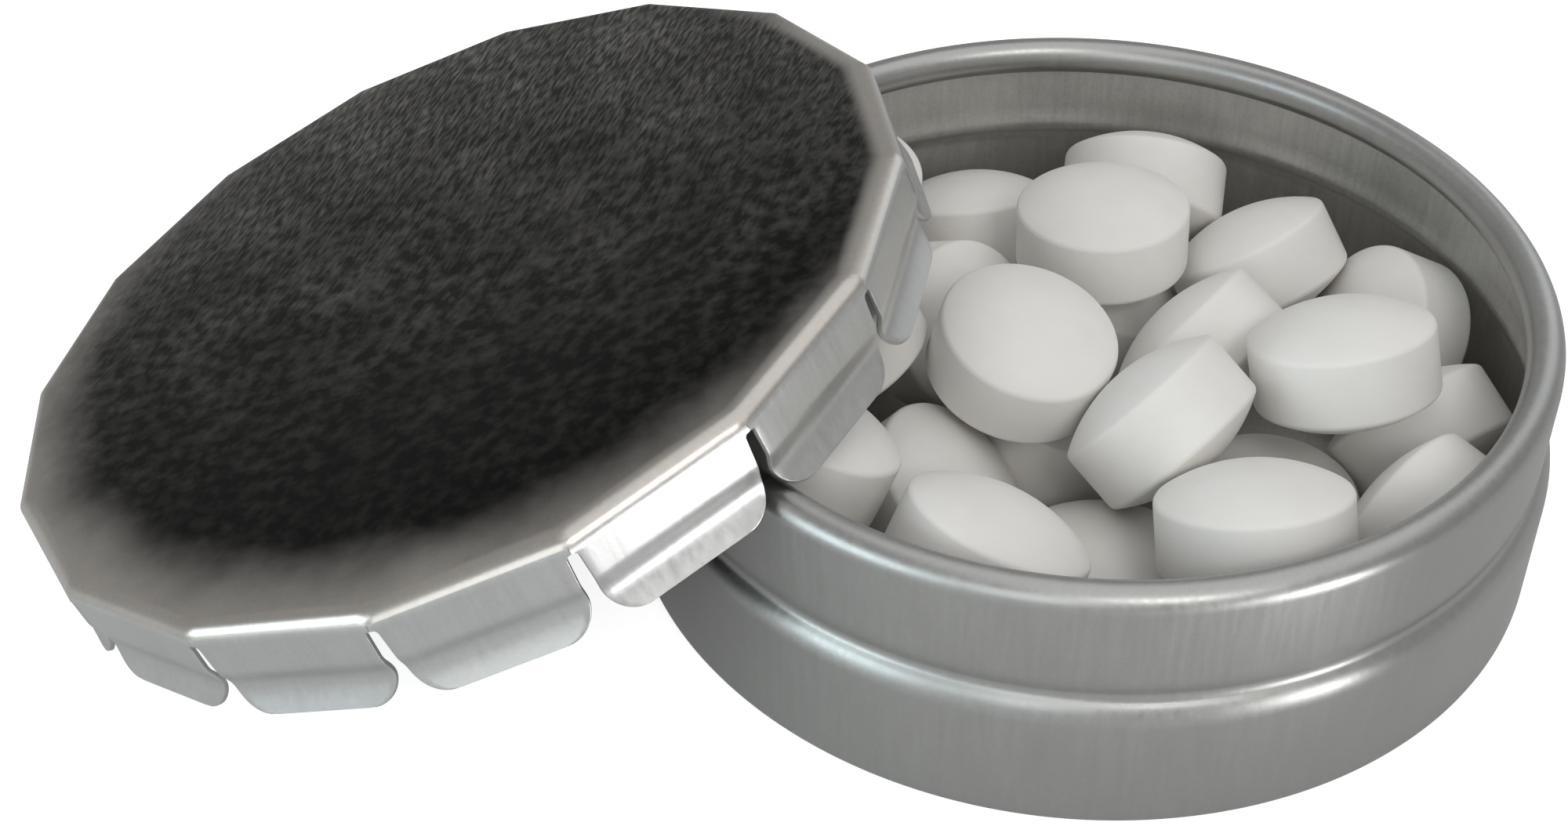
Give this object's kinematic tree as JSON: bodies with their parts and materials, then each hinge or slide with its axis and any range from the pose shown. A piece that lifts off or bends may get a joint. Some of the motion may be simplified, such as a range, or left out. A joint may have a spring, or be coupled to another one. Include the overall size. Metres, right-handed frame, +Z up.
{
  "type": "mint tin",
  "caption": "Round pocket mint tin: rolled-rim metal cup full of white mints, its faceted click lid with spring tabs leaning on the rim.",
  "frame": {"origin": "middle of the underside of the tin's base, on the table", "axes": "+Z up out of the tin's mouth; the lid leans on the rim towards -X, and the long side of the whole lies along X"},
  "size_m": [0.0797, 0.049, 0.0217],
  "materials": {
    "base_metal": "satin",
    "lid_metal": "satin",
    "lid_panel_metal": "satin, mottled",
    "mint_sugar": "chalky"
  },
  "bodies": {
    "base": {"tin_base": "base_metal", "mint_01": "mint_sugar", "mint_02": "mint_sugar", "mint_03": "mint_sugar", "mint_04": "mint_sugar", "mint_05": "mint_sugar", "mint_06": "mint_sugar", "mint_07": "mint_sugar", "mint_08": "mint_sugar", "mint_09": "mint_sugar", "mint_10": "mint_sugar", "mint_11": "mint_sugar", "mint_12": "mint_sugar", "mint_13": "mint_sugar", "mint_14": "mint_sugar", "mint_15": "mint_sugar", "mint_16": "mint_sugar", "mint_17": "mint_sugar", "mint_18": "mint_sugar", "mint_19": "mint_sugar", "mint_20": "mint_sugar", "mint_21": "mint_sugar", "mint_22": "mint_sugar", "mint_24": "mint_sugar", "mint_25": "mint_sugar", "mint_26": "mint_sugar"},
    "lid": {"lid_rim": "lid_metal"},
    "panel": {"lid_click_panel": "lid_panel_metal"},
    "tab_01": {"lid_tab_01": "lid_metal"},
    "tab_02": {"lid_tab_02": "lid_metal"},
    "tab_03": {"lid_tab_03": "lid_metal"},
    "tab_04": {"lid_tab_04": "lid_metal"},
    "tab_05": {"lid_tab_05": "lid_metal"},
    "tab_06": {"lid_tab_06": "lid_metal"},
    "tab_07": {"lid_tab_07": "lid_metal"},
    "tab_08": {"lid_tab_08": "lid_metal"},
    "tab_09": {"lid_tab_09": "lid_metal"},
    "tab_10": {"lid_tab_10": "lid_metal"},
    "tab_11": {"lid_tab_11": "lid_metal"},
    "tab_12": {"lid_tab_12": "lid_metal"},
    "tab_13": {"lid_tab_13": "lid_metal"},
    "tab_14": {"lid_tab_14": "lid_metal"},
    "tab_15": {"lid_tab_15": "lid_metal"},
    "tab_16": {"lid_tab_16": "lid_metal"},
    "loose_mint_23": {"mint_23": "mint_sugar"},
    "loose_mint_27": {"mint_27": "mint_sugar"}
  },
  "joints": [
    {"name": "lid_lift", "type": "slide", "parent": "base", "child": "lid", "axis": [0, 0, 1], "range_m": [0, 0.03]},
    {"name": "panel_click", "type": "slide", "parent": "lid", "child": "panel", "axis": [-0.3379, 0, 0.9412], "range_m": [0, 0.0012]},
    {"name": "tab_01_flex", "type": "hinge", "parent": "lid", "child": "tab_01", "pos_m": [-0.01066, 0.00466, 0.02081], "axis": [-0.1836, 0.9808, -0.0659], "range_deg": [0, 4]},
    {"name": "tab_02_flex", "type": "hinge", "parent": "lid", "child": "tab_02", "pos_m": [-0.01402, 0.01327, 0.01961], "axis": [-0.5229, 0.8315, -0.1877], "range_deg": [0, 4]},
    {"name": "tab_03_flex", "type": "hinge", "parent": "lid", "child": "tab_03", "pos_m": [-0.02022, 0.01986, 0.01738], "axis": [-0.7826, 0.5556, -0.2809], "range_deg": [0, 4]},
    {"name": "tab_04_flex", "type": "hinge", "parent": "lid", "child": "tab_04", "pos_m": [-0.02833, 0.02343, 0.01447], "axis": [-0.9231, 0.1951, -0.3314], "range_deg": [0, 4]},
    {"name": "tab_05_flex", "type": "hinge", "parent": "lid", "child": "tab_05", "pos_m": [-0.0371, 0.02343, 0.01132], "axis": [-0.9231, -0.1951, -0.3314], "range_deg": [0, 4]},
    {"name": "tab_06_flex", "type": "hinge", "parent": "lid", "child": "tab_06", "pos_m": [-0.0452, 0.01986, 0.00841], "axis": [-0.7826, -0.5556, -0.2809], "range_deg": [0, 4]},
    {"name": "tab_07_flex", "type": "hinge", "parent": "lid", "child": "tab_07", "pos_m": [-0.05141, 0.01327, 0.00618], "axis": [-0.5229, -0.8315, -0.1877], "range_deg": [0, 4]},
    {"name": "tab_08_flex", "type": "hinge", "parent": "lid", "child": "tab_08", "pos_m": [-0.05476, 0.00466, 0.00498], "axis": [-0.1836, -0.9808, -0.0659], "range_deg": [0, 4]},
    {"name": "tab_09_flex", "type": "hinge", "parent": "lid", "child": "tab_09", "pos_m": [-0.05476, -0.00466, 0.00498], "axis": [0.1836, -0.9808, 0.0659], "range_deg": [0, 4]},
    {"name": "tab_10_flex", "type": "hinge", "parent": "lid", "child": "tab_10", "pos_m": [-0.05141, -0.01327, 0.00618], "axis": [0.5229, -0.8315, 0.1877], "range_deg": [0, 4]},
    {"name": "tab_11_flex", "type": "hinge", "parent": "lid", "child": "tab_11", "pos_m": [-0.0452, -0.01986, 0.00841], "axis": [0.7826, -0.5556, 0.2809], "range_deg": [0, 4]},
    {"name": "tab_12_flex", "type": "hinge", "parent": "lid", "child": "tab_12", "pos_m": [-0.0371, -0.02343, 0.01132], "axis": [0.9231, -0.1951, 0.3314], "range_deg": [0, 4]},
    {"name": "tab_13_flex", "type": "hinge", "parent": "lid", "child": "tab_13", "pos_m": [-0.02833, -0.02343, 0.01447], "axis": [0.9231, 0.1951, 0.3314], "range_deg": [0, 4]},
    {"name": "tab_14_flex", "type": "hinge", "parent": "lid", "child": "tab_14", "pos_m": [-0.02022, -0.01986, 0.01738], "axis": [0.7826, 0.5556, 0.2809], "range_deg": [0, 4]},
    {"name": "tab_15_flex", "type": "hinge", "parent": "lid", "child": "tab_15", "pos_m": [-0.01402, -0.01327, 0.01961], "axis": [0.5229, 0.8315, 0.1877], "range_deg": [0, 4]},
    {"name": "tab_16_flex", "type": "hinge", "parent": "lid", "child": "tab_16", "pos_m": [-0.01066, -0.00466, 0.02081], "axis": [0.1836, 0.9808, 0.0659], "range_deg": [0, 4]},
    {"name": "mint_23_lift", "type": "slide", "parent": "base", "child": "loose_mint_23", "axis": [0, 0, 1], "range_m": [0, 0.02]},
    {"name": "mint_27_lift", "type": "slide", "parent": "base", "child": "loose_mint_27", "axis": [0, 0, 1], "range_m": [0, 0.02]}
  ],
  "couplings": [
    {"joint": "tab_01_flex", "follows": "panel_click", "rad_per_m": 58},
    {"joint": "tab_02_flex", "follows": "panel_click", "rad_per_m": 58},
    {"joint": "tab_03_flex", "follows": "panel_click", "rad_per_m": 58},
    {"joint": "tab_04_flex", "follows": "panel_click", "rad_per_m": 58},
    {"joint": "tab_05_flex", "follows": "panel_click", "rad_per_m": 58},
    {"joint": "tab_06_flex", "follows": "panel_click", "rad_per_m": 58},
    {"joint": "tab_07_flex", "follows": "panel_click", "rad_per_m": 58},
    {"joint": "tab_08_flex", "follows": "panel_click", "rad_per_m": 58},
    {"joint": "tab_09_flex", "follows": "panel_click", "rad_per_m": 58},
    {"joint": "tab_10_flex", "follows": "panel_click", "rad_per_m": 58},
    {"joint": "tab_11_flex", "follows": "panel_click", "rad_per_m": 58},
    {"joint": "tab_12_flex", "follows": "panel_click", "rad_per_m": 58},
    {"joint": "tab_13_flex", "follows": "panel_click", "rad_per_m": 58},
    {"joint": "tab_14_flex", "follows": "panel_click", "rad_per_m": 58},
    {"joint": "tab_15_flex", "follows": "panel_click", "rad_per_m": 58},
    {"joint": "tab_16_flex", "follows": "panel_click", "rad_per_m": 58}
  ]
}
